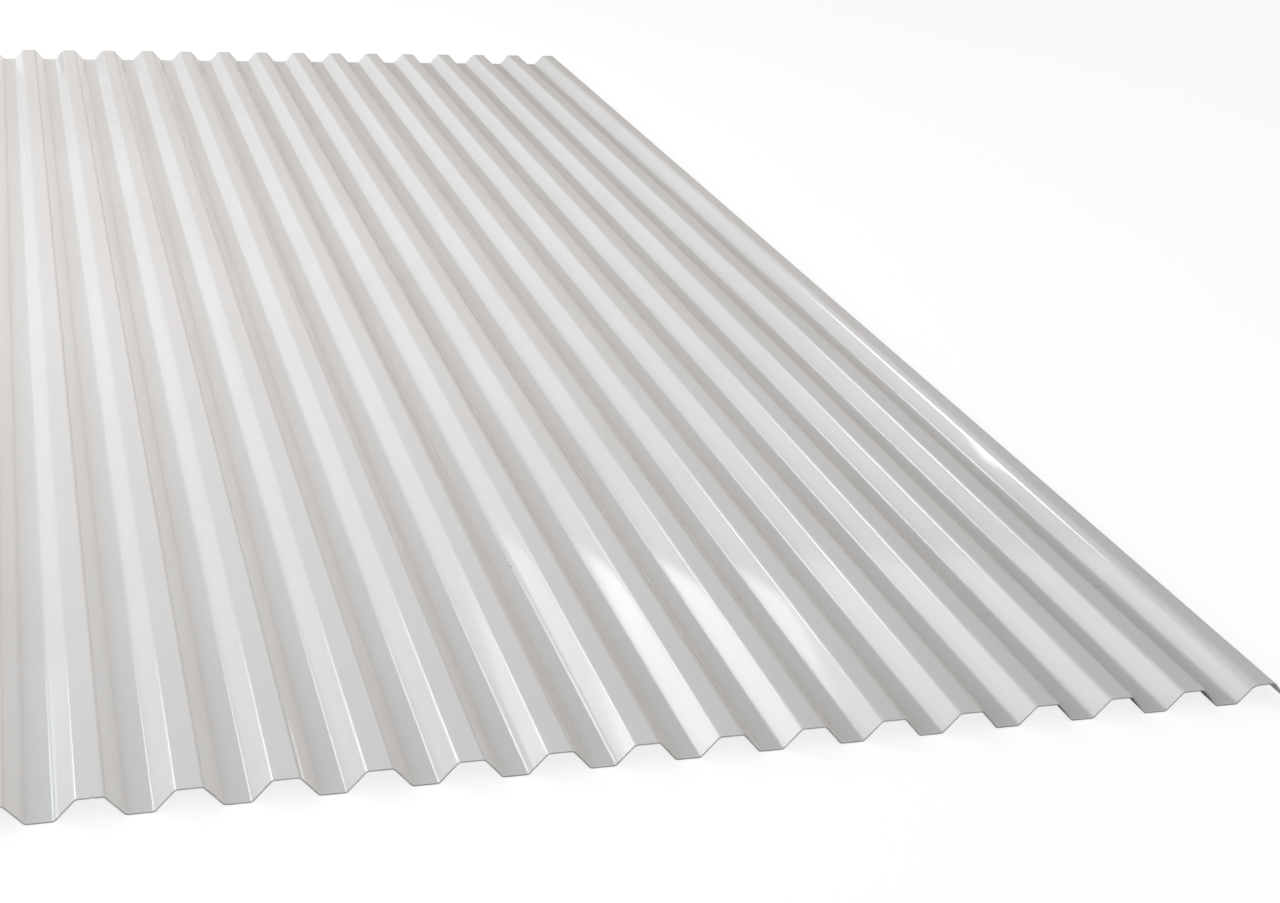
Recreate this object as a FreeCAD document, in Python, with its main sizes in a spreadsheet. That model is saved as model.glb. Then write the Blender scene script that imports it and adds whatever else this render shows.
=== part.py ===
"""Corrugated plastic roofing sheet with a trapezoidal wave, as one parametric document.

The sheet is one skin of PVC, formed into sixteen crests with fifteen troughs between them.
Every bend has the same inside radius, and the skin is equally thick in the flats, the flanks
and the bends. The two long edges end on the outer flank of the first and the last crest, so
that one crest laps over a neighbouring sheet. Both ends are cut square.

Frame: X runs across the waves, Y along them and Z up. The origin is at the middle of the
sheet, on the underside of its middle trough. All sizes are in millimetres.
"""

import FreeCAD
import Part
import Sketcher
import math
import os

# Driving dimensions: alias, value and what it measures.
SIZES = [
    ("sheet_length", 2500, "along the waves, from end to end"),
    ("crest_count", 16, "crests across the sheet"),
    ("wave_pitch", 70, "from one crest's middle to the next"),
    ("wave_height", 18, "from the underside of a trough to the top of a crest"),
    ("crest_flat", 16.5, "flat on a crest, between its two bends"),
    ("trough_flat", 16.5, "flat in a trough, between its two bends"),
    ("sheet_thickness", 1.2, "of the skin, square to its surface"),
    ("bend_radius", 3.5, "inside radius of every bend"),
    ("edge_reach", 22.5, "from the last crest's middle to the long edge"),
    ("trim_clearance", 5, "by which the trimming cuts run past the skin"),
]

# Lengths that the document works out from them, written once and used by the features.
EDGE_FROM_MIDDLE = "(Sizes.crest_count - 1) / 2 * Sizes.wave_pitch + Sizes.edge_reach"
BEYOND_LAST_WAVE = "Sizes.crest_count / 2 * Sizes.wave_pitch + Sizes.trim_clearance"
ABOVE_THE_CRESTS = "Sizes.wave_height + Sizes.trim_clearance"

# How a sketch names its own origin, its upright axis, and the points of an edge.
ORIGIN, UPRIGHT_AXIS = -1, -2
START, END, CENTRE = 1, 2, 3


def make_sizes(doc):
    """Puts the driving dimensions in a spreadsheet, and returns them as a dict too."""
    sheet = doc.addObject("Spreadsheet::Sheet", "Sizes")
    for row, (alias, value, note) in enumerate(SIZES, start=1):
        sheet.set(f"A{row}", alias)
        sheet.set(f"B{row}", str(value))
        sheet.set(f"C{row}", note)
        sheet.setAlias(f"B{row}", alias)
    doc.recompute()
    return {alias: float(sheet.get(alias)) for alias, _, _ in SIZES}


def section_sketch(body, name):
    """A sketch on the body's XZ plane: sketch x is the sheet's X, and sketch y is its Z."""
    sketch = body.newObject("Sketcher::SketchObject", name)
    plane = next(f for f in body.Origin.OriginFeatures if f.Role == "XZ_Plane")
    sketch.AttachmentSupport = (plane, [""])
    sketch.MapMode = "FlatFace"
    return sketch


def point(x, y):
    return FreeCAD.Vector(x, y, 0)


def mirrored(p):
    return point(-p.x, p.y)


def on_circle(centre, radius, angle):
    return centre + point(radius * math.cos(angle), radius * math.sin(angle))


def line(start, end):
    return Part.LineSegment(start, end)


def arc(centre, radius, start, end):
    """Arc from angle start, counter-clockwise to angle end, in radians."""
    circle = Part.Circle(centre, FreeCAD.Vector(0, 0, 1), radius)
    return Part.ArcOfCircle(circle, start, end)


def dimension(sketch, expression, *constraint):
    """Adds a dimension to the sketch and binds it to the spreadsheet."""
    index = sketch.addConstraint(Sketcher.Constraint(*constraint))
    sketch.setExpression(f"Constraints[{index}]", expression)


class WaveOutline:
    """One wave, from trough middle to trough middle, drawn and constrained in a sketch.

    The skin's two faces share the centre of each bend: the inner face of a bend has the
    radius bend_radius, and the outer face is sheet_thickness further out.
    """

    # The nine edges of one face, from left to right.
    LEFT_TROUGH, LEFT_FOOT, LEFT_FLANK, LEFT_SHOULDER, CREST = range(5)
    RIGHT_SHOULDER, RIGHT_FLANK, RIGHT_FOOT, RIGHT_TROUGH = range(5, 9)
    # A shoulder is convex, so its arc runs from right to left.
    DRAWN_BACKWARD = (LEFT_SHOULDER, RIGHT_SHOULDER)

    def __init__(self, sketch, size):
        self.sketch = sketch
        self.thickness = size["sheet_thickness"]
        self.inner = size["bend_radius"]
        self.outer = self.inner + self.thickness
        self.half_pitch = size["wave_pitch"] / 2
        self.top = size["wave_height"]
        self.shoulder = point(size["crest_flat"] / 2, self.top - self.outer)
        self.foot = point(self.half_pitch - size["trough_flat"] / 2, self.outer)
        fall = self.shoulder - self.foot
        across = math.atan2(fall.y, -fall.x)
        self.flank_angle = across + math.asin((self.inner + self.outer) / fall.Length)

    def draw_face(self, shoulder_radius, foot_radius, rise):
        """Draws one face of the skin, rise above its lower face, and returns its edges."""
        up = math.pi / 2
        square = up - self.flank_angle
        crest = self.top - self.thickness + rise
        shoulder, foot = self.shoulder, self.foot
        flank_top = on_circle(shoulder, shoulder_radius, square)
        flank_end = on_circle(foot, foot_radius, square - math.pi)
        half_pitch = self.half_pitch
        edges = [
            line(point(-half_pitch, rise), point(-foot.x, rise)),
            arc(mirrored(foot), foot_radius, -up, -square),
            line(mirrored(flank_end), mirrored(flank_top)),
            arc(mirrored(shoulder), shoulder_radius, up, math.pi - square),
            line(point(-shoulder.x, crest), point(shoulder.x, crest)),
            arc(shoulder, shoulder_radius, square, up),
            line(flank_top, flank_end),
            arc(foot, foot_radius, square - math.pi, -up),
            line(point(foot.x, rise), point(half_pitch, rise)),
        ]
        return self.sketch.addGeometry(edges, False)

    def join_face(self, face):
        """Joins one face's edges end to end, tangent at each joint."""
        for i in range(len(face) - 1):
            leave = START if i in self.DRAWN_BACKWARD else END
            arrive = END if i + 1 in self.DRAWN_BACKWARD else START
            self.constrain("Tangent", face[i], leave, face[i + 1], arrive)

    def close_side(self, flats, corner, x):
        """Closes the wave at one side, where the next wave joins it."""
        side = self.sketch.addGeometry(line(point(x, 0), point(x, self.thickness)), False)
        for flat, end in zip(flats, (START, END)):
            self.constrain("Coincident", flat, corner, side, end)
            self.constrain("Horizontal", flat)
        self.constrain("Vertical", side)

    def constrain(self, *constraint):
        self.sketch.addConstraint(Sketcher.Constraint(*constraint))

    def constrain_bends(self, lower, upper):
        """The faces share each bend's centre, and all bends have the same two radii."""
        feet = (self.LEFT_FOOT, self.RIGHT_FOOT)
        shoulders = (self.LEFT_SHOULDER, self.RIGHT_SHOULDER)
        for bend in feet + shoulders:
            self.constrain("Coincident", lower[bend], CENTRE, upper[bend], CENTRE)
        for left, right in (feet, shoulders):
            self.constrain(
                "Symmetric", lower[left], CENTRE, lower[right], CENTRE, UPRIGHT_AXIS
            )
        inner = [upper[i] for i in feet] + [lower[i] for i in shoulders]
        outer = [lower[i] for i in feet] + [upper[i] for i in shoulders]
        for bends in (inner, outer):
            for other in bends[1:]:
                self.constrain("Equal", bends[0], other)
        dimension(self.sketch, "Sizes.bend_radius", "Radius", inner[0], self.inner)
        dimension(
            self.sketch,
            "Sizes.bend_radius + Sizes.sheet_thickness",
            *("Radius", outer[0], self.outer),
        )

    def constrain_flats(self, lower, upper):
        """Places the flats: the troughs' underside is at zero, and the crest is at the top."""
        left, right = lower[self.LEFT_TROUGH], lower[self.RIGHT_TROUGH]
        left_shoulder, right_shoulder = lower[self.LEFT_SHOULDER], lower[self.RIGHT_SHOULDER]
        foot, crest = lower[self.RIGHT_FOOT], upper[self.CREST]
        shoulders_apart = 2 * self.shoulder.x
        foot_to_side = self.half_pitch - self.foot.x
        self.constrain("PointOnObject", left, START, ORIGIN)
        dimension(
            self.sketch,
            "Sizes.wave_height",
            *("DistanceY", ORIGIN, START, crest, START, self.top),
        )
        dimension(
            self.sketch,
            "Sizes.crest_flat",
            *("DistanceX", left_shoulder, CENTRE, right_shoulder, CENTRE, shoulders_apart),
        )
        dimension(
            self.sketch,
            "Sizes.trough_flat / 2",
            *("DistanceX", foot, CENTRE, right, END, foot_to_side),
        )
        dimension(
            self.sketch,
            "Sizes.wave_pitch / 2",
            *("DistanceX", ORIGIN, START, right, END, self.half_pitch),
        )
        dimension(
            self.sketch,
            "Sizes.wave_pitch / 2",
            *("DistanceX", left, START, ORIGIN, START, self.half_pitch),
        )

    def build(self):
        lower = self.draw_face(self.inner, self.outer, 0)
        upper = self.draw_face(self.outer, self.inner, self.thickness)
        self.join_face(lower)
        self.join_face(upper)
        for flat, corner, x in (
            (self.LEFT_TROUGH, START, -self.half_pitch),
            (self.RIGHT_TROUGH, END, self.half_pitch),
        ):
            self.close_side((lower[flat], upper[flat]), corner, x)
        self.constrain_bends(lower, upper)
        self.constrain_flats(lower, upper)


def edge_from_middle(size):
    """The long edges' distance from the sheet's middle."""
    return (size["crest_count"] - 1) / 2 * size["wave_pitch"] + size["edge_reach"]


def trim_rectangle(sketch, side, size):
    """A rectangle outside one long edge. side is -1 for the left edge and 1 for the right."""
    clear = size["trim_clearance"]
    edge = edge_from_middle(size)
    beyond = size["crest_count"] / 2 * size["wave_pitch"] + clear
    high = size["wave_height"] + clear
    corners = [
        point(side * edge, -clear),
        point(side * beyond, -clear),
        point(side * beyond, high),
        point(side * edge, high),
    ]
    ends = corners[1:] + corners[:1]
    sides = sketch.addGeometry([line(a, b) for a, b in zip(corners, ends)], False)
    bottom, far, top, near = sides
    for first, second in zip(sides, (far, top, near, bottom)):
        sketch.addConstraint(Sketcher.Constraint("Coincident", first, END, second, START))
    for level in (bottom, top):
        sketch.addConstraint(Sketcher.Constraint("Horizontal", level))
    for upright in (far, near):
        sketch.addConstraint(Sketcher.Constraint("Vertical", upright))
    for upright, distance, expression in (
        (near, edge, EDGE_FROM_MIDDLE),
        (far, beyond, BEYOND_LAST_WAVE),
    ):
        ends = [(ORIGIN, START), (upright, START)][::side]
        dimension(sketch, expression, "DistanceX", *ends[0], *ends[1], distance)
    dimension(
        sketch,
        "Sizes.trim_clearance",
        *("DistanceY", bottom, START, ORIGIN, START, clear),
    )
    dimension(
        sketch,
        ABOVE_THE_CRESTS,
        *("DistanceY", ORIGIN, START, top, START, high),
    )


def make_roofing_sheet(doc, size):
    """The sheet: one padded wave, repeated across the width and trimmed at its long edges."""
    body = doc.addObject("PartDesign::Body", "roofing_sheet")
    body.Label = "roofing_sheet"

    section = section_sketch(body, "wave_section")
    WaveOutline(section, size).build()
    section.setExpression(
        "AttachmentOffset.Base.x", "(1 - Sizes.crest_count) / 2 * Sizes.wave_pitch"
    )
    wave = body.newObject("PartDesign::Pad", "wave")
    wave.Profile = section
    wave.SideType = "Symmetric"
    wave.setExpression("Length", "Sizes.sheet_length")
    doc.recompute()

    waves = body.newObject("PartDesign::LinearPattern", "waves")
    waves.Originals = [wave]
    waves.Direction = (section, ["H_Axis"])
    waves.setExpression("Length", "(Sizes.crest_count - 1) * Sizes.wave_pitch")
    waves.setExpression("Occurrences", "Sizes.crest_count")
    body.Tip = waves
    doc.recompute()

    edges = section_sketch(body, "long_edges")
    for side in (-1, 1):
        trim_rectangle(edges, side, size)
    trim = body.newObject("PartDesign::Pocket", "edge_trim")
    trim.Profile = edges
    trim.Type = "ThroughAll"
    trim.SideType = "Symmetric"
    body.Tip = trim
    doc.recompute()
    if trim.Shape.Volume >= waves.Shape.Volume:
        raise RuntimeError("the edge trim cut nothing")
    return body


def check(doc, body, size):
    """Stops the build if any object of the document failed or the sheet isn't sound."""
    for obj in doc.Objects:
        if "Invalid" in obj.State or "Error" in obj.State:
            raise RuntimeError(f"{obj.Name} failed: {obj.State}")
        if obj.TypeId == "Sketcher::SketchObject" and not obj.FullyConstrained:
            raise RuntimeError(f"sketch {obj.Name} is not fully constrained")
    shape = body.Shape
    if shape.isNull() or not shape.isValid() or len(shape.Solids) != 1:
        raise RuntimeError(f"{body.Label} is not one sound solid")
    box = shape.BoundBox
    built = (box.XLength, box.YLength, box.ZLength)
    meant = (2 * edge_from_middle(size), size["sheet_length"], size["wave_height"])
    if any(abs(a - b) > 0.001 for a, b in zip(built, meant)):
        raise RuntimeError(f"{body.Label} measures {built} and should measure {meant}")
    print(body.Label, "mm:", [round(x, 3) for x in built], "mm3:", round(shape.Volume))


def main():
    doc = FreeCAD.newDocument("corrugated_roofing_sheet")
    size = make_sizes(doc)
    body = make_roofing_sheet(doc, size)
    check(doc, body, size)
    os.makedirs("parts", exist_ok=True)
    body.Shape.exportStep(f"parts/{body.Label}.step")


main()
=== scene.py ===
# %% [markdown]
# # A corrugated plastic roofing sheet
#
# The object is one thin skin of white PVC that is drawn through forming rollers and cooled in long,
# flat-topped waves. The construction model holds its real size. This lesson gives the same sheet the
# things that make it look like plastic: rounded bends, slightly crowned faces, forming lines, a sawn
# edge, a few marks from handling, and soft light that shows how glossy it is.

# %% Load the frame
import math

import bpy
import numpy as np
from mathutils import Matrix, Vector, noise


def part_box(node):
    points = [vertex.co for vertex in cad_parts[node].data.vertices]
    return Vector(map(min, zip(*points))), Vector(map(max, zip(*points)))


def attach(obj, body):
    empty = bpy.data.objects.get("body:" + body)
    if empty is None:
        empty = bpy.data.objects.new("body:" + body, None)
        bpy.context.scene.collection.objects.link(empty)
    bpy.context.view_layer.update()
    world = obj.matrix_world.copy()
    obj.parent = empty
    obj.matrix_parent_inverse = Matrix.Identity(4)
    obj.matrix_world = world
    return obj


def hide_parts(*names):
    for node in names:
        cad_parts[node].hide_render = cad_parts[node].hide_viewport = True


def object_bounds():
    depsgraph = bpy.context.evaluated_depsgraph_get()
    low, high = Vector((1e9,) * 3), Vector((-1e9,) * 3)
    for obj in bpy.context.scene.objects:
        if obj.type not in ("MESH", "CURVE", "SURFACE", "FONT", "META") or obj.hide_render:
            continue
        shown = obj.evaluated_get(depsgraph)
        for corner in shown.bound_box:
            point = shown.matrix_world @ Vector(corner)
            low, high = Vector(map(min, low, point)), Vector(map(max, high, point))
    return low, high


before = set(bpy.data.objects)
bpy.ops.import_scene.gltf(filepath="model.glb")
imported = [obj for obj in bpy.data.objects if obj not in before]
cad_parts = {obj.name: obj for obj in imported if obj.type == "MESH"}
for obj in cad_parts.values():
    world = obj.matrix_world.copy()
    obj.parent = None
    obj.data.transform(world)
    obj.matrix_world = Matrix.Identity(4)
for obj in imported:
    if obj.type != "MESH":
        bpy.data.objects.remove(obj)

CAD_LOW, CAD_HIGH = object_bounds()
SHEET_LOW, SHEET_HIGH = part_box("roofing_sheet")
WIDTH, LENGTH, HEIGHT = SHEET_HIGH - SHEET_LOW
MM = 0.001
print(f"the sheet is {WIDTH / MM:.0f} x {LENGTH / MM:.0f} x {HEIGHT / MM:.0f} mm")

# %% [markdown]
# ## The section
#
# The skin is the same thickness everywhere, so its section is one line, the middle of the skin,
# which is later given half the thickness on each side. A pen that only knows how to go straight
# and how to turn along an arc can draw that line. It is the way the rollers shape the sheet, and it
# keeps every bend round and every face tangent to its bends, which a list of corners would not.

# %% Sizes of the section
PITCH = 70 * MM
CREST_COUNT = 16
FLAT = 16.5 * MM
THICKNESS = 1.2 * MM
INSIDE_RADIUS = 3.5 * MM
MIDDLE_RADIUS = INSIDE_RADIUS + THICKNESS / 2


def flank_shape():
    """The turn of each bend, and the straight between two bends, that fit half a wave."""
    run = PITCH / 2 - FLAT
    rise = HEIGHT - THICKNESS
    reach = math.hypot(run, rise - 2 * MIDDLE_RADIUS)
    turn = math.atan2(rise - 2 * MIDDLE_RADIUS, run) + math.asin(2 * MIDDLE_RADIUS / reach)
    return turn, (run - 2 * MIDDLE_RADIUS * math.sin(turn)) / math.cos(turn)


BEND_TURN, FLANK = flank_shape()
print(f"each bend turns {math.degrees(BEND_TURN):.1f} degrees")
print(f"a flank is straight for {FLANK / MM:.1f} mm between its bends")

# %% [markdown]
# ## Walking the section
#
# The pen drops a station at every step: where the middle of the skin is, which way its upper face
# looks, and how far along the skin it has come. Each flat and each flank gets a station close to
# both of its ends, so that smooth shading is soft only in the bends. Real flanks bulge outward by a
# few hundredths of a millimetre as the plastic cools. Nobody sees the bulge itself, but it is why
# the edge of a window's reflection runs aslant over a flank. The last wave sits at the rim of the
# rollers, so the bend on its inner side comes out rounder.

# %% The pen
BEND_STEPS = 6
FACE_STEPS = 3
GUARD = 0.35 * MM
FLANK_CROWN = 0.04 * MM
FLAT_CROWN = 0.02 * MM
RIM_RADIUS = 11 * MM


class Pen:
    """Draws the middle line of the skin from left to right, and keeps a station at each step."""

    def __init__(self):
        self.place = np.array([0.0, 0.0])
        self.slope = 0.0
        self.girth = 0.0
        self.stations = []

    def drop(self, bulge=0.0):
        """A station: x, z, the slope of the skin, the distance walked."""
        normal = np.array([-math.sin(self.slope), math.cos(self.slope)])
        x, z = self.place + normal * bulge
        self.stations.append((x, z, self.slope, self.girth))

    def forward(self, distance):
        self.place = self.place + distance * np.array([math.cos(self.slope), math.sin(self.slope)])
        self.girth += distance

    def face(self, length, crown):
        """A flat or a flank: straight, and raised by its crown in the middle."""
        between = [i / FACE_STEPS for i in range(1, FACE_STEPS)]
        shares = [GUARD / length, *between, 1 - GUARD / length, 1.0]
        walked = 0.0
        for share in shares:
            self.forward(length * share - walked)
            walked = length * share
            self.drop(crown * 4 * share * (1 - share))

    def bend(self, turn, radius):
        """An arc, as short chords that each turn a little, half before and half after."""
        step = turn / BEND_STEPS
        for _ in range(BEND_STEPS):
            self.slope += step / 2
            self.forward(2 * radius * abs(math.sin(step / 2)))
            self.slope += step / 2
            self.drop()


def draw_half_wave(pen, side, radius=MIDDLE_RADIUS):
    """A flank with its two bends: side 1 climbs from a trough to a crest, and -1 comes down."""
    spare = (radius - MIDDLE_RADIUS) * math.tan(BEND_TURN / 2)
    pen.bend(side * BEND_TURN, MIDDLE_RADIUS)
    pen.face(FLANK - spare, FLANK_CROWN)
    pen.bend(-side * BEND_TURN, radius)
    return spare


def draw_section():
    """The whole section, from the foot of the left outer flank to the foot of the right one."""
    pen = Pen()
    pen.slope = BEND_TURN
    pen.drop()
    pen.face(FLANK, FLANK_CROWN)
    pen.bend(-BEND_TURN, MIDDLE_RADIUS)
    pen.face(FLAT, FLAT_CROWN)
    for crest in range(1, CREST_COUNT):
        draw_half_wave(pen, -1)
        pen.face(FLAT, FLAT_CROWN)
        at_rim = crest == CREST_COUNT - 1
        spare = draw_half_wave(pen, 1, RIM_RADIUS if at_rim else MIDDLE_RADIUS)
        pen.face(FLAT - spare, FLAT_CROWN)
    pen.bend(-BEND_TURN, MIDDLE_RADIUS)
    pen.face(FLANK, FLANK_CROWN)
    return np.array(pen.stations)


section = draw_section()
crest_line = section[:, 1].max()
section[:, 1] += HEIGHT - THICKNESS / 2 - crest_line
section[:, 0] -= (section[0, 0] + section[-1, 0]) / 2
print(f"{len(section)} stations over {section[-1, 3]:.3f} m of skin")

# %% [markdown]
# ## Trimming the long edges
#
# The rollers make more flank than the sheet keeps, and a saw trims both long edges upright. A
# station on the flank is slid along the flank until its face meets the saw's plane. The upper and
# the lower face meet it at different heights, which gives the slanted lip of the real edge.

# %% Faces of the skin
def skin_faces(stations):
    """Upper and lower points (x, z) of every station, with the first and last on the trim planes."""
    x, z, slope = stations[:, 0], stations[:, 1], stations[:, 2]
    faces = []
    for side in (1, -1):
        offset = side * THICKNESS / 2
        face = np.stack([x - offset * np.sin(slope), z + offset * np.cos(slope)], 1)
        for end, plane in ((0, -WIDTH / 2), (-1, WIDTH / 2)):
            gap = plane - face[end, 0]
            face[end] += gap * np.array([1.0, math.tan(slope[end])])
        faces.append(face)
    return faces


inside = np.abs(section[:, 0]) < WIDTH / 2 - 2 * GUARD
first, last = np.flatnonzero(inside)[[0, -1]]
section = section[first - 1 : last + 2]
upper, lower = skin_faces(section)
print(f"upper face from x = {upper[0, 0]:.4f} to {upper[-1, 0]:.4f} m")

# %% [markdown]
# ## The skin as a mesh
#
# Rows of stations along the waves make two grids, one for each face, and four strips of sawn edge
# close them. The rows are closer together near the ends, where the saw leaves a slightly ragged
# line. Both faces move together wherever the sheet isn't perfectly flat, so its thickness holds.
# The unevenness is under a fifth of a millimetre: it can't be seen as shape, but it bends the
# reflections, as in any sheet that has been stacked and carried.

# %% Rows and unevenness
INNER_ROWS = 44
END_STEPS = [0.0, 0.5 * MM, 1.1 * MM, 2.0 * MM, 6.0 * MM, 20.0 * MM]
UNEVEN = 0.16 * MM
# swells in a metre across and along, where in the noise they are read, and their share
SWELLS = [(3.1, 2.3, 1.7, 0.7), (11.0, 4.7, 5.2, 0.5)]
SAW_WANDER = 0.12 * MM
SAW_SWINGS_PER_METRE = 160.0
ROW_GAP = 0.25 * MM
NICK = {"x": -0.4535, "half": 1.7 * MM, "depth": 0.9 * MM}


def row_places():
    """Places of the rows along the sheet, from the near end to the far one."""
    near = [-LENGTH / 2 + step for step in END_STEPS]
    inner = np.linspace(near[-1], -near[-1], INNER_ROWS)[1:-1]
    return np.array([*near, *inner, *[-y for y in reversed(near)]])


def lift(x, y):
    """How far the skin stands above or below its true place."""
    swells = [share * noise.noise(Vector((x * across, y * along, layer)))
              for across, along, layer, share in SWELLS]
    return UNEVEN * sum(swells)


def saw_line(x, end):
    """How far the sawn end wanders from a straight cut, with the nick in the near one."""
    wander = SAW_WANDER * noise.noise(Vector((x * SAW_SWINGS_PER_METRE, end * 9.0, 0.3)))
    away = abs(x - NICK["x"]) / NICK["half"]
    nick = NICK["depth"] * (1 - away) if end < 0 and away < 1 else 0.0
    return wander - end * nick


def skin_points(face, rows):
    """One face's grid of points, as rows x stations x 3. The nick pushes the next rows inward."""
    points = np.zeros((len(rows), len(face), 3))
    points[:, :, 0] = face[None, :, 0]
    points[:, :, 1] = rows[:, None]
    points[:, :, 2] = face[None, :, 1]
    for j, (x, _) in enumerate(face):
        for i, y in enumerate(rows):
            points[i, j, 2] += lift(section[j, 0], y)
        for end, i, inward in ((-1, 0, 1), (1, len(rows) - 1, -1)):
            cut = saw_line(x, end)
            points[i, j, 1] += cut
            for k in range(1, 4):
                row = i + k * inward
                deepest = points[i, j, 1] + inward * ROW_GAP * k
                if (deepest - points[row, j, 1]) * inward > 0:
                    points[row, j, 1] = deepest
    return points


def with_stations_at(stations, x, offsets):
    """The stations, and more of them beside x, where a small feature needs them."""
    places = [x + offset for offset in offsets]
    extra = np.array([[np.interp(p, stations[:, 0], stations[:, c]) for c in range(4)] for p in places])
    both = np.concatenate([stations, extra])
    return both[np.argsort(both[:, 3], kind="stable")]


section = with_stations_at(section, NICK["x"], [n * NICK["half"] / 3 for n in range(-3, 4)])
upper, lower = skin_faces(section)
rows = row_places()
print(f"{len(rows)} rows of {len(section)} stations on each face")

# %% [markdown]
# ## Closing the skin
#
# A sheet with real thickness needs its underside and its sawn edges too. The faces are listed one
# by one from the two grids, which keeps them in neat rows, and lets the sawn strips have a finish of
# their own. Each point also keeps its girth, so that a finish can follow the skin over the bends.

# %% Build the mesh
FACE_MATERIAL, EDGE_MATERIAL = 0, 1
SHARP_ANGLE = math.radians(50)


def new_object(name, data):
    """An object made around its data, and put in the scene."""
    made = bpy.data.objects.new(name, data)
    bpy.context.scene.collection.objects.link(made)
    return made


def grid_faces(first, rows_count, stations_count, upward):
    """The four-sided faces of one grid whose points start at index first."""
    faces = []
    for i in range(rows_count - 1):
        for j in range(stations_count - 1):
            a = first + i * stations_count + j
            b, c, d = a + 1, a + 1 + stations_count, a + stations_count
            faces.append((a, b, c, d) if upward else (d, c, b, a))
    return faces


def sheet_mesh(rows, name):
    """The closed skin, with its girth kept at every point as a number the finish can follow."""
    n_rows, n_stations = len(rows), len(section)
    one_side = n_rows * n_stations
    points = np.concatenate([skin_points(face, rows).reshape(-1, 3) for face in (upper, lower)])
    faces = grid_faces(0, n_rows, n_stations, True)
    faces += grid_faces(one_side, n_rows, n_stations, False)
    skin_count = len(faces)
    far = (n_rows - 1) * n_stations
    for j in range(n_stations - 1):
        faces.append((j + 1, j, one_side + j, one_side + j + 1))
        faces.append((far + j, far + j + 1, one_side + far + j + 1, one_side + far + j))
    right = n_stations - 1
    for i in range(n_rows - 1):
        a, b = i * n_stations, (i + 1) * n_stations
        faces.append((a, b, one_side + b, one_side + a))
        faces.append((b + right, a + right, one_side + a + right, one_side + b + right))
    mesh = bpy.data.meshes.new(name)
    mesh.from_pydata(points.tolist(), [], faces)
    mesh.polygons.foreach_set("use_smooth", [True] * len(faces))
    kinds = [FACE_MATERIAL] * skin_count + [EDGE_MATERIAL] * (len(faces) - skin_count)
    mesh.polygons.foreach_set("material_index", kinds)
    girth = mesh.attributes.new("girth", "FLOAT", "POINT")
    girth.data.foreach_set("value", np.tile(section[:, 3], 2 * n_rows).astype(np.float32))
    mesh.set_sharp_from_angle(angle=SHARP_ANGLE)
    mesh.validate()
    return mesh


sheet = new_object("pvc_sheet", sheet_mesh(rows, "pvc_sheet"))
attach(sheet, "root")
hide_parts("roofing_sheet")
triangles = sum(len(p.vertices) - 2 for p in sheet.data.polygons)
print(f"the sheet has {triangles} triangles")

# %% [markdown]
# ## Surface effects, as node groups
#
# The sheet has two finishes: the rolled faces, and the sawn edges. What they share is built once as
# a node group with named inputs, and each finish sets its own amounts. All of them work in metres
# along the skin: the girth that the pen counted, and the place along the waves. So a forming line
# follows the skin over every bend, as it does on the real sheet.


# %% A helper for node trees
class Tree:
    """Short words for making and joining nodes in one tree."""

    def __init__(self, tree):
        self.tree = tree

    def node(self, kind, settings=None, **inputs):
        made = self.tree.nodes.new(kind)
        for name, value in (settings or {}).items():
            setattr(made, name, value)
        for name, value in inputs.items():
            self.feed(made, name, value)
        return made

    def feed(self, node, name, value):
        """Joins or sets one input, by its name, or by its number as in i0, i1 and i2."""
        numbered = name[0] == "i" and name[1:].isdigit()
        socket = node.inputs[int(name[1:]) if numbered else name]
        if isinstance(value, bpy.types.NodeSocket):
            self.tree.links.new(value, socket)
        else:
            socket.default_value = value

    def math(self, operation, *values):
        inputs = {f"i{n}": value for n, value in enumerate(values)}
        made = self.node("ShaderNodeMath", {"operation": operation}, **inputs)
        return made.outputs[0]

    def ramp(self, value, low, high, to_low=0.0, to_high=1.0):
        """value, from low to high, becomes to_low to to_high, smoothly and no further."""
        settings = {"interpolation_type": "SMOOTHSTEP"}
        limits = {"i1": low, "i2": high, "i3": to_low, "i4": to_high}
        made = self.node("ShaderNodeMapRange", settings, i0=value, **limits)
        return made.outputs[0]

    def fade(self, value, low, high):
        """1 below low, and 0 above high."""
        return self.math("SUBTRACT", 1.0, self.ramp(value, low, high))

    def mix(self, share, a, b):
        made = self.node("ShaderNodeMix", {"data_type": "RGBA"}, i0=share, i6=a, i7=b)
        return made.outputs[2]

    def place(self, x, y, z=0.0):
        return self.node("ShaderNodeCombineXYZ", i0=x, i1=y, i2=z).outputs[0]

    def noise(self, vector, scale, detail=2.0, rough=0.5):
        made = self.node("ShaderNodeTexNoise", Vector=vector, Scale=scale, Detail=detail, Roughness=rough)
        return made.outputs[0]


def new_group(name, inputs, outputs):
    """An empty shader group with named sockets, and its inside as a Tree."""
    group = bpy.data.node_groups.new(name, "ShaderNodeTree")
    for socket_name, default in inputs.items():
        kind = {3: "NodeSocketVector", 4: "NodeSocketColor"}.get(np.size(default), "NodeSocketFloat")
        socket = group.interface.new_socket(socket_name, in_out="INPUT", socket_type=kind)
        socket.default_value = default
    for socket_name, kind in outputs.items():
        group.interface.new_socket(socket_name, in_out="OUTPUT", socket_type=kind)
    inside = Tree(group)
    entry = group.nodes.new("NodeGroupInput")
    leave = group.nodes.new("NodeGroupOutput")
    return group, inside, entry.outputs, leave


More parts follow.
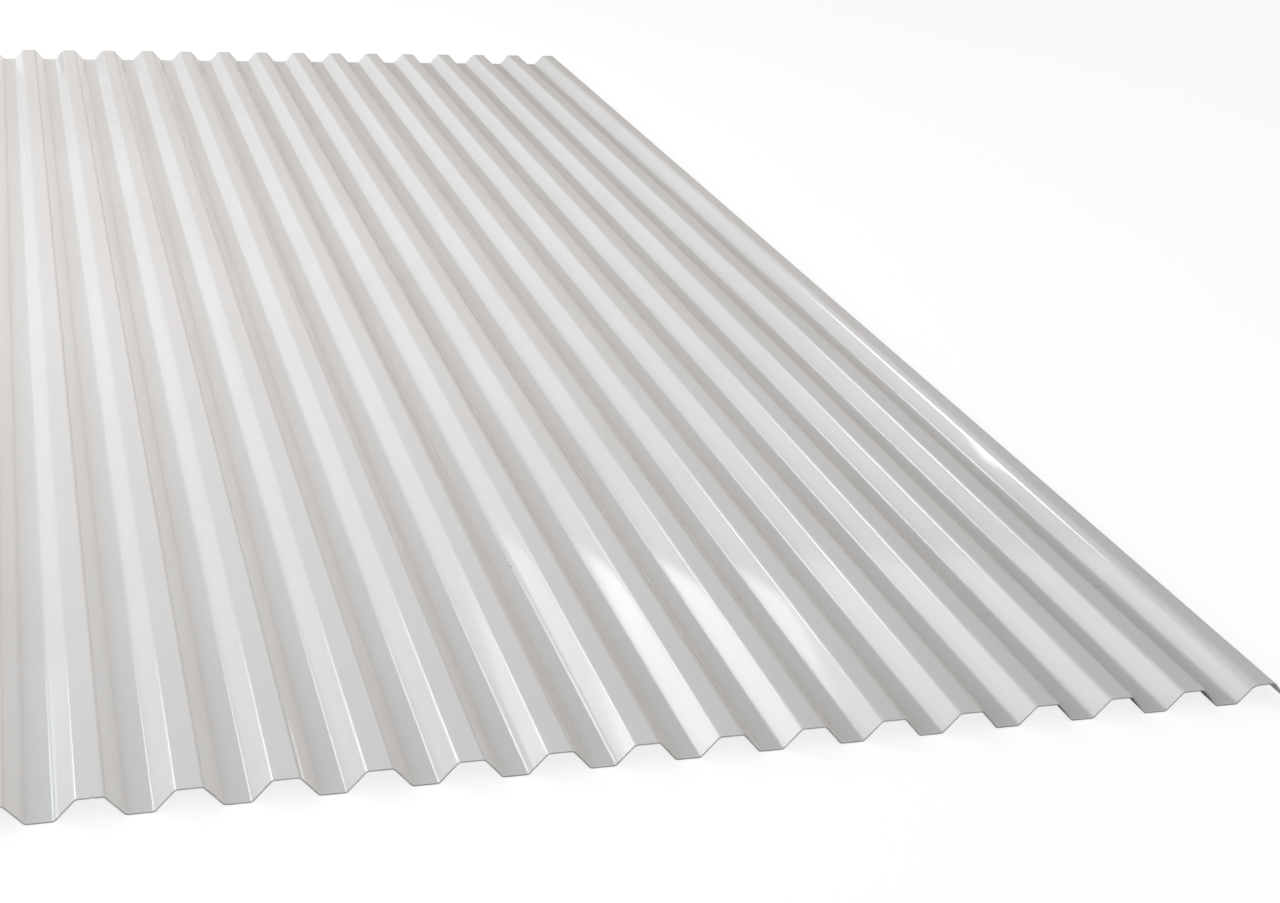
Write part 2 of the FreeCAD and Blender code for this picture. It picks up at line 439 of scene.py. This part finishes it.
# %% Forming lines
def make_forming_lines():
    """Fine ridges along the waves, as the rollers draw them: many faint ones and a few deeper."""
    group, t, given, leave = new_group(
        "forming_lines",
        {"Girth": 0.0, "Along": 0.0, "Lines per Metre": 420.0, "Wander": 0.9},
        {"Height": "NodeSocketFloat", "Mask": "NodeSocketFloat"},
    )
    across = t.math("MULTIPLY", given["Girth"], given["Lines per Metre"])
    along = t.math("MULTIPLY", given["Along"], given["Wander"])
    fine = t.noise(t.place(across, along), 1.0, 3.0, 0.65)
    broad = t.noise(t.place(t.math("MULTIPLY", across, 0.13), along, 4.0), 1.0, 2.0)
    height = t.math("ADD", t.math("MULTIPLY", fine, 0.6), t.math("MULTIPLY", broad, 0.9))
    t.feed(leave, "Height", height)
    t.feed(leave, "Mask", t.ramp(fine, 0.56, 0.72))
    return group


# %% Tone drift
def make_tone_drift():
    """A slow change between two tones, since no batch of plastic is one flat colour."""
    group, t, given, leave = new_group(
        "tone_drift",
        {"Place": (0.0, 0.0, 0.0), "Patches per Metre": 3.0, "First Tone": (0.8, 0.8, 0.8, 1.0),
         "Second Tone": (0.8, 0.8, 0.8, 1.0)},
        {"Color": "NodeSocketColor"},
    )
    cloud = t.noise(given["Place"], given["Patches per Metre"], 3.0)
    t.feed(leave, "Color", t.mix(t.ramp(cloud, 0.35, 0.65), given["First Tone"], given["Second Tone"]))
    return group


# %% Dust and specks
def make_specks():
    """Sparse round specks: one point in each cell, and most cells are left clean."""
    group, t, given, leave = new_group(
        "specks",
        {"Place": (0.0, 0.0, 0.0), "Cells per Metre": 90.0, "Share": 0.05, "Size": 0.06},
        {"Mask": "NodeSocketFloat"},
    )
    cells = t.node("ShaderNodeTexVoronoi", {"voronoi_dimensions": "2D"}, Vector=given["Place"],
                   Scale=given["Cells per Metre"])
    pick = t.node("ShaderNodeSeparateColor", Color=cells.outputs["Color"]).outputs
    chosen = t.math("LESS_THAN", pick[0], given["Share"])
    size = t.math("MULTIPLY", given["Size"], t.math("ADD", pick[1], 0.4))
    inside = t.fade(t.math("DIVIDE", cells.outputs["Distance"], size), 0.5, 1.0)
    t.feed(leave, "Mask", t.math("MULTIPLY", inside, chosen))
    return group


# %% Hairline scratches
def make_hairlines():
    """Short hairlines in one rough direction: long thin cells, with a thin core kept of a few."""
    group, t, given, leave = new_group(
        "hairlines",
        {"Place": (0.0, 0.0, 0.0), "Turn": 0.3, "Cells per Metre": 14.0, "Share": 0.07,
         "Width": 0.008},
        {"Mask": "NodeSocketFloat"},
    )
    bent = t.node("ShaderNodeVectorRotate", {"rotation_type": "Z_AXIS"}, Vector=given["Place"],
                  Angle=given["Turn"])
    split = t.node("ShaderNodeSeparateXYZ", Vector=bent.outputs[0]).outputs
    wave = t.math("MULTIPLY", t.noise(bent.outputs[0], 9.0, 1.0), 0.02)
    long_place = t.place(t.math("ADD", split[0], wave), t.math("MULTIPLY", split[1], 0.22))
    cells = t.node("ShaderNodeTexVoronoi", {"voronoi_dimensions": "2D"}, Vector=long_place,
                   Scale=given["Cells per Metre"])
    pick = t.node("ShaderNodeSeparateColor", Color=cells.outputs["Color"]).outputs
    chosen = t.math("LESS_THAN", pick[0], given["Share"])
    core = t.node("ShaderNodeVectorMath", {"operation": "SUBTRACT"}, i0=long_place,
                  i1=cells.outputs["Position"])
    offset = t.node("ShaderNodeSeparateXYZ", Vector=core.outputs[0]).outputs
    side = t.math("MULTIPLY", t.math("ABSOLUTE", offset[0]), given["Cells per Metre"])
    reach = t.math("MULTIPLY", t.math("ABSOLUTE", offset[1]), given["Cells per Metre"])
    thin = t.fade(side, 0.0, given["Width"])
    short = t.fade(reach, 0.10, 0.22)
    t.feed(leave, "Mask", t.math("MULTIPLY", t.math("MULTIPLY", thin, short), chosen))
    return group


# %% One mark from handling
def make_single_mark():
    """One straight mark at a chosen place: its mask fades at both ends."""
    group, t, given, leave = new_group(
        "single_mark",
        {"Across": 0.0, "Along": 0.0, "Mark Across": 0.0, "Mark Along": 0.0, "Turn": 0.0,
         "Length": 0.02, "Width": 0.0006},
        {"Mask": "NodeSocketFloat"},
    )
    x = t.math("SUBTRACT", given["Across"], given["Mark Across"])
    y = t.math("SUBTRACT", given["Along"], given["Mark Along"])
    cosine, sine = t.math("COSINE", given["Turn"]), t.math("SINE", given["Turn"])
    length_part = t.math("ADD", t.math("MULTIPLY", x, cosine), t.math("MULTIPLY", y, sine))
    width_part = t.math("SUBTRACT", t.math("MULTIPLY", y, cosine), t.math("MULTIPLY", x, sine))
    ends = t.math("DIVIDE", t.math("ABSOLUTE", length_part), t.math("MULTIPLY", given["Length"], 0.5))
    sides = t.math("DIVIDE", t.math("ABSOLUTE", width_part), given["Width"])
    faded = t.fade(ends, 0.5, 1.0)
    thin = t.fade(sides, 0.3, 1.0)
    t.feed(leave, "Mask", t.math("MULTIPLY", faded, thin))
    return group


GROUPS = {
    "forming_lines": make_forming_lines(),
    "tone_drift": make_tone_drift(),
    "specks": make_specks(),
    "hairlines": make_hairlines(),
    "single_mark": make_single_mark(),
}
print(f"{len(GROUPS)} effect groups: {', '.join(GROUPS)}")

# %% [markdown]
# ## The two finishes
#
# Rigid PVC is an opaque plastic with a gloss of its own, so the faces are a plain Principled BSDF:
# white, very smooth, with PVC's index of refraction. Everything that varies is fed in: the tone,
# the roughness under dust and hairlines, and a very shallow bump from the forming lines. The sawn
# edge is the same plastic torn by a blade. It is matt and holds a little grey dirt, and its two
# tones are darker than the faces' white: that is painted shade, for an edge turned away from the light.


# %% Start a finish
def new_finish(name, ior):
    """A material with its Principled BSDF, and the skin's own coordinates in metres."""
    material = bpy.data.materials.new(name)
    material.use_nodes = True
    tree = Tree(material.node_tree)
    shader = material.node_tree.nodes["Principled BSDF"]
    shader.inputs["IOR"].default_value = ior
    girth = tree.node("ShaderNodeAttribute", {"attribute_name": "girth"}).outputs["Fac"]
    spot = tree.node("ShaderNodeTexCoord").outputs["Object"]
    axes = tree.node("ShaderNodeSeparateXYZ", Vector=spot).outputs
    return material, tree, shader, girth, spot, axes


def use_group(tree, name, **inputs):
    """Places an effect group in a finish. An underscore in an input's name stands for a space."""
    made = tree.node("ShaderNodeGroup", {"node_tree": GROUPS[name]})
    for key, value in inputs.items():
        tree.feed(made, key.replace("_", " "), value)
    return made.outputs


# %% Rolled PVC
PVC_IOR = 1.53
PVC_WHITE = (0.900, 0.900, 0.895, 1.0)
PVC_WARM = (0.880, 0.876, 0.866, 1.0)
DIRT = (0.24, 0.22, 0.20, 1.0)
GLOSS = 0.03
DULLED = 0.25
FILM = 0.03
SCRATCHES_DULLED = 0.4
DUST_DULLED = 0.5
SPECKS_DARKENED = 0.30
SCRATCHES_DARKENED = 0.03
SCRATCH_IN_LINES = 0.5
FORMING_DEPTH = 0.0022 * MM
# place across and along in metres, turn in radians, length and half width in metres, how dark
MARKS = {
    "rub_in_first_trough": (-0.4915, -1.0085, -0.70, 0.028, 0.0008, 0.12),
    "rub_near_last_crest": (0.489, -1.027, 0.30, 0.016, 0.0012, 0.28),
    "rub_by_twelfth_crest": (0.350, -1.064, 0.25, 0.018, 0.0012, 0.22),
    "speck_in_fourth_trough": (-0.277, 0.574, 0.0, 0.006, 0.0022, 0.35),
    "speck_beside_it": (-0.2715, 0.169, 0.0, 0.006, 0.0018, 0.35),
    "speck_at_seventh_bend": (-0.0610, -0.902, 0.0, 0.004, 0.0011, 0.75),
    "smudge_on_third_crest": (-0.327, -1.037, 0.6, 0.016, 0.0040, 0.06),
}


def make_rolled_pvc():
    material, t, shader, girth, spot, axes = new_finish("rolled_pvc", PVC_IOR)
    skin = t.place(girth, axes[1])
    lines = use_group(t, "forming_lines", Girth=girth, Along=axes[1])
    tone = use_group(t, "tone_drift", Place=spot, First_Tone=PVC_WHITE, Second_Tone=PVC_WARM)["Color"]
    specks = use_group(t, "specks", Place=skin)["Mask"]
    dust = use_group(t, "specks", Place=skin, Cells_per_Metre=420.0, Share=0.10, Size=0.10)["Mask"]
    hairs = use_group(t, "hairlines", Place=skin)["Mask"]
    cross_hairs = use_group(t, "hairlines", Place=skin, Turn=1.25, Cells_per_Metre=9.0,
                            Share=0.06)["Mask"]
    scratched = t.math("MAXIMUM", hairs, cross_hairs)
    for across, along, turn, length, width, dark in MARKS.values():
        mark = use_group(t, "single_mark", Across=axes[0], Along=axes[1], Mark_Across=across,
                         Mark_Along=along, Turn=turn, Length=length, Width=width)["Mask"]
        tone = t.mix(t.math("MULTIPLY", mark, dark), tone, DIRT)
    tone = t.mix(t.math("MULTIPLY", specks, SPECKS_DARKENED), tone, DIRT)
    tone = t.mix(t.math("MULTIPLY", scratched, SCRATCHES_DARKENED), tone, DIRT)
    t.feed(shader, "Base Color", tone)
    film = t.ramp(t.noise(spot, 7.0, 4.0, 0.6), 0.40, 0.75, 0.0, FILM)
    rough = t.math("ADD", GLOSS, film)
    for worn, share in ((scratched, SCRATCHES_DULLED), (dust, DUST_DULLED)):
        rough = t.math("ADD", rough, t.math("MULTIPLY", worn, share * (DULLED - GLOSS)))
    t.feed(shader, "Roughness", rough)
    height = t.math("SUBTRACT", lines["Height"], t.math("MULTIPLY", scratched, SCRATCH_IN_LINES))
    bump = t.node("ShaderNodeBump", Strength=1.0, Distance=FORMING_DEPTH, Height=height)
    t.feed(shader, "Normal", bump.outputs[0])
    return material


# %% Sawn edge
# the sawn edge's two tones are painted shade: the same white plastic, made darker because the edge faces
# away from the light
SAWN_PAINTED_SHADE_LIGHT = (0.74, 0.73, 0.71, 1.0)
SAWN_PAINTED_SHADE_DARK = (0.56, 0.54, 0.51, 1.0)
SAW_MARKS_PER_METRE = 2600.0
SAW_DEPTH = 0.05 * MM
GRIT_DARKENED = 0.4


def make_sawn_edge():
    material, t, shader, girth, spot, axes = new_finish("sawn_edge", PVC_IOR)
    # the edge drifts between the two painted-shade tones; only the grit laid over them is real dirt
    tone = use_group(t, "tone_drift", Place=spot, Patches_per_Metre=60.0, First_Tone=SAWN_PAINTED_SHADE_LIGHT,
                     Second_Tone=SAWN_PAINTED_SHADE_DARK)["Color"]
    grit = use_group(t, "specks", Place=t.place(girth, axes[2]), Cells_per_Metre=1500.0, Share=0.25,
                     Size=0.3)["Mask"]
    t.feed(shader, "Base Color", t.mix(t.math("MULTIPLY", grit, GRIT_DARKENED), tone, DIRT))
    t.feed(shader, "Roughness", t.ramp(t.noise(spot, 900.0), 0.3, 0.7, 0.55, 0.80))
    slanted = t.math("ADD", girth, t.math("MULTIPLY", axes[2], 0.4))
    stripes = t.noise(t.place(slanted, 0.0), SAW_MARKS_PER_METRE)
    bump = t.node("ShaderNodeBump", Strength=1.0, Distance=SAW_DEPTH, Height=stripes)
    t.feed(shader, "Normal", bump.outputs[0])
    return material


sheet.data.materials.append(make_rolled_pvc())
sheet.data.materials.append(make_sawn_edge())
print("finishes:", ", ".join(m.name for m in sheet.data.materials))

# %% [markdown]
# ## Floor
#
# The sheet lies on its troughs on a plain white floor. To the camera the floor is white on its own
# account, so it stays white without more light on the sheet, and only the deepest part of the
# sheet's shadow shows on it. For every other ray it is ordinary pale paint.

# %% Floor
FLOOR_SIZE = 60.0
FLOOR_GAP = 0.1 * MM
FLOOR_PAINT = (0.80, 0.80, 0.80, 1.0)
FLOOR_GLOW = 0.82
FLOOR_SHADE = (0.30, 0.30, 0.30, 1.0)


def make_floor():
    mesh = bpy.data.meshes.new("floor")
    half = FLOOR_SIZE / 2
    corners = [(-half, -half), (half, -half), (half, half), (-half, half)]
    mesh.from_pydata([(x, y, CAD_LOW.z - FLOOR_GAP) for x, y in corners], [], [(0, 1, 2, 3)])
    floor = new_object("floor", mesh)
    material = bpy.data.materials.new("floor")
    material.use_nodes = True
    t = Tree(material.node_tree)
    material.node_tree.nodes.remove(material.node_tree.nodes["Principled BSDF"])
    rays = t.node("ShaderNodeLightPath").outputs
    paint = t.node("ShaderNodeBsdfDiffuse", Color=FLOOR_PAINT).outputs[0]
    shade = t.node("ShaderNodeBsdfDiffuse", Color=FLOOR_SHADE).outputs[0]
    glow = t.node("ShaderNodeEmission", Color=(1.0, 1.0, 1.0, 1.0), Strength=FLOOR_GLOW).outputs[0]
    seen = t.node("ShaderNodeAddShader", i0=shade, i1=glow).outputs[0]
    shown = t.math("MAXIMUM", rays["Is Camera Ray"], rays["Is Transmission Ray"])
    mixed = t.node("ShaderNodeMixShader", i0=shown, i1=paint, i2=seen).outputs[0]
    t.feed(material.node_tree.nodes["Material Output"], "Surface", mixed)
    mesh.materials.append(material)
    return floor


make_floor()
print(f"floor of {FLOOR_SIZE:.0f} m")

# %% [markdown]
# ## Light
#
# Gloss is only as good as what it reflects. The sheet lies in a tall, pale room with daylight from
# one side, so the light is a world made of soft panels: each is a rectangle on the walls of that
# room, given by its compass direction and its height above the floor, with a soft border. The wide
# ones shade the waves. Of the two small bright ones, the window is what flashes on the flanks, and
# only the bends can show the high one, as thin light lines. The eye itself sees plain white around
# the sheet instead of the room.


# %% A soft panel
def make_soft_panel():
    """Light from one rectangle of the surroundings. Compass 0 is +Y and 90 is +X, in degrees."""
    group, t, given, leave = new_group(
        "soft_panel",
        {"Direction": (0.0, 1.0, 0.0), "Compass": 0.0, "Height": 20.0, "Half Width": 20.0,
         "Half Height": 10.0, "Border": 5.0, "Lean": 0.0, "Color": (1.0, 1.0, 1.0, 1.0)},
        {"Light": "NodeSocketColor"},
    )
    axes = t.node("ShaderNodeSeparateXYZ", Vector=given["Direction"]).outputs
    compass = t.math("DEGREES", t.math("ARCTAN2", axes[0], axes[1]))
    height = t.math("DEGREES", t.math("ARCSINE", axes[2]))
    above = t.math("SUBTRACT", height, given["Height"])
    leaned = t.math("ADD", given["Compass"], t.math("MULTIPLY", above, given["Lean"]))
    off = t.math("WRAP", t.math("SUBTRACT", compass, leaned), 180.0, -180.0)
    masks = []
    for away, half in ((off, given["Half Width"]), (above, given["Half Height"])):
        beyond = t.math("DIVIDE", t.math("SUBTRACT", t.math("ABSOLUTE", away), half), given["Border"])
        masks.append(t.fade(beyond, -1.0, 1.0))
    mask = t.math("MULTIPLY", *masks)
    t.feed(leave, "Light", t.mix(mask, (0.0, 0.0, 0.0, 1.0), given["Color"]))
    return group


GROUPS["soft_panel"] = make_soft_panel()


# %% The room
ROOM_LIGHT = (0.12, 0.12, 0.12)
# compass, height, half width, half height and border in degrees, then the lean, which is how far
# the compass shifts for each degree of height, and the light's colour
PANELS = {
    "window_sill": (-58.6, 10.4, 30.5, 1.6, 0.4, -0.35, (1.25, 1.25, 1.25)),
    "window": (-38.3, 15.0, 8.5, 3.0, 0.4, -0.35, (3.0, 3.0, 3.0)),
    "window_top": (-61.0, 24.0, 30.0, 6.0, 0.4, -0.15, (1.25, 1.25, 1.3)),
    "small_high_window": (-22.0, 28.0, 6.0, 4.0, 0.4, 0.0, (7.0, 7.0, 7.0)),
    "left_wall": (-60.0, 11.0, 30.0, 22.0, 6.0, 0.0, (0.28, 0.26, 0.25)),
    "far_wall": (0.0, 25.0, 30.0, 36.0, 6.0, 0.0, (0.28, 0.26, 0.25)),
    "far_wall_left_part": (-20.0, 9.0, 14.0, 7.0, 10.0, 0.0, (0.13, 0.16, 0.18)),
    "far_skylight": (-20.0, 26.0, 14.0, 9.0, 8.0, 0.0, (0.10, 0.25, 0.30)),
    "far_wall_right_part": (5.0, 26.0, 14.0, 9.0, 8.0, 0.0, (0.34, 0.30, 0.26)),
    "pale_wall_at_right": (100.0, 26.0, 20.0, 9.0, 8.0, 0.0, (2.6, 2.28, 2.08)),
    "wall_behind_the_right": (135.0, 25.0, 45.0, 36.0, 6.0, 0.0, (0.40, 0.38, 0.36)),
}


def make_room():
    world = bpy.data.worlds.new("pale_room")
    bpy.context.scene.world = world
    world.use_nodes = True
    t = Tree(world.node_tree)
    background = world.node_tree.nodes["Background"]
    direction = t.node("ShaderNodeTexCoord").outputs["Generated"]
    light = (*ROOM_LIGHT, 1.0)
    for compass, height, half_width, half_height, border, lean, color in PANELS.values():
        panel = use_group(t, "soft_panel", Direction=direction, Compass=compass, Height=height,
                          Half_Width=half_width, Half_Height=half_height, Border=border,
                          Lean=lean, Color=(*color, 1.0))["Light"]
        added = t.node("ShaderNodeMix", {"data_type": "RGBA", "blend_type": "ADD"}, i0=1.0,
                       i6=light, i7=panel)
        light = added.outputs[2]
    rays = t.node("ShaderNodeLightPath").outputs
    shown = t.math("MAXIMUM", rays["Is Camera Ray"], rays["Is Transmission Ray"])
    t.feed(background, "Color", t.mix(shown, light, (1.0, 1.0, 1.0, 1.0)))
    return world


make_room()
bpy.context.scene.view_settings.view_transform = "Standard"
print(f"the room has {len(PANELS)} panels")

# %% [markdown]
# ## Lamps at the window side
#
# Daylight from a window beside the sheet falls off across it: the left waves are brighter than the
# right ones. Walls that are infinitely far can't do that, so a few broad lamps stand at the left, at
# real distances. They give only soft light, and the panels above give the reflections.

# %% Lamps
LAMP_SIZE = 1.0
# place in metres, then the colour, and the power in watts. Every lamp looks at the sheet's middle
LAMPS = {
    "beside": ((-2.0, 0.6, 1.0), (0.62, 0.75, 0.92), 8.4),
    "near_left": ((-2.0, -1.0, 1.0), (0.93, 0.93, 0.94), 6.8),
    "by_the_eye": ((-1.3, -2.2, 1.2), (0.60, 0.78, 0.92), 5.2),
    "over_the_left": ((-1.0, 0.3, 1.3), (1.0, 0.94, 0.88), 5.2),
    "above": ((-0.9, -0.2, 1.8), (0.98, 0.95, 0.94), 5.2),
    "far_left": ((-0.6, 1.8, 0.8), (1.0, 0.95, 0.90), 6.2),
}


def make_lamp(name, place, color, power):
    data = bpy.data.lights.new(name, "AREA")
    data.size = LAMP_SIZE
    data.energy = power
    data.color = color
    lamp = new_object(name, data)
    aim = (-Vector(place)).to_track_quat("-Z", "Y")
    lamp.matrix_world = Matrix.Translation(place) @ aim.to_matrix().to_4x4()
    lamp.visible_glossy = False


for lamp_name, (lamp_place, lamp_color, lamp_power) in LAMPS.items():
    make_lamp(lamp_name, lamp_place, lamp_color, lamp_power)
print("lamps:", ", ".join(LAMPS))

# %% [markdown]
# ## Camera
#
# The eye is at waist height, a good metre in front of the near left corner, and looks along the
# waves and down. It is tipped by a few degrees, as a camera held in the hand is.

# %% Camera
EYE = Vector((-0.48035, -LENGTH / 2 - 1.24058, 0.8215))
COMPASS, DOWN, TIP = (math.radians(angle) for angle in (18.68, 22.927, 4.613))
LENS_MM = 55.05
SENSOR_MM = 36.0


def make_camera():
    data = bpy.data.cameras.new("eye")
    data.sensor_width = SENSOR_MM
    data.lens = LENS_MM
    camera = new_object("eye", data)
    ahead = Vector((math.sin(COMPASS), math.cos(COMPASS), 0.0))
    look = ahead * math.cos(DOWN) - Vector((0.0, 0.0, math.sin(DOWN)))
    right = Vector((math.cos(COMPASS), -math.sin(COMPASS), 0.0))
    up = right.cross(look)
    tipped_right = right * math.cos(TIP) + up * math.sin(TIP)
    tipped_up = up * math.cos(TIP) - right * math.sin(TIP)
    turned = Matrix((tipped_right, tipped_up, -look)).transposed()
    camera.matrix_world = Matrix.Translation(EYE) @ turned.to_4x4()
    bpy.context.scene.camera = camera


make_camera()
print(f"the eye is {EYE.z:.2f} m above the floor")
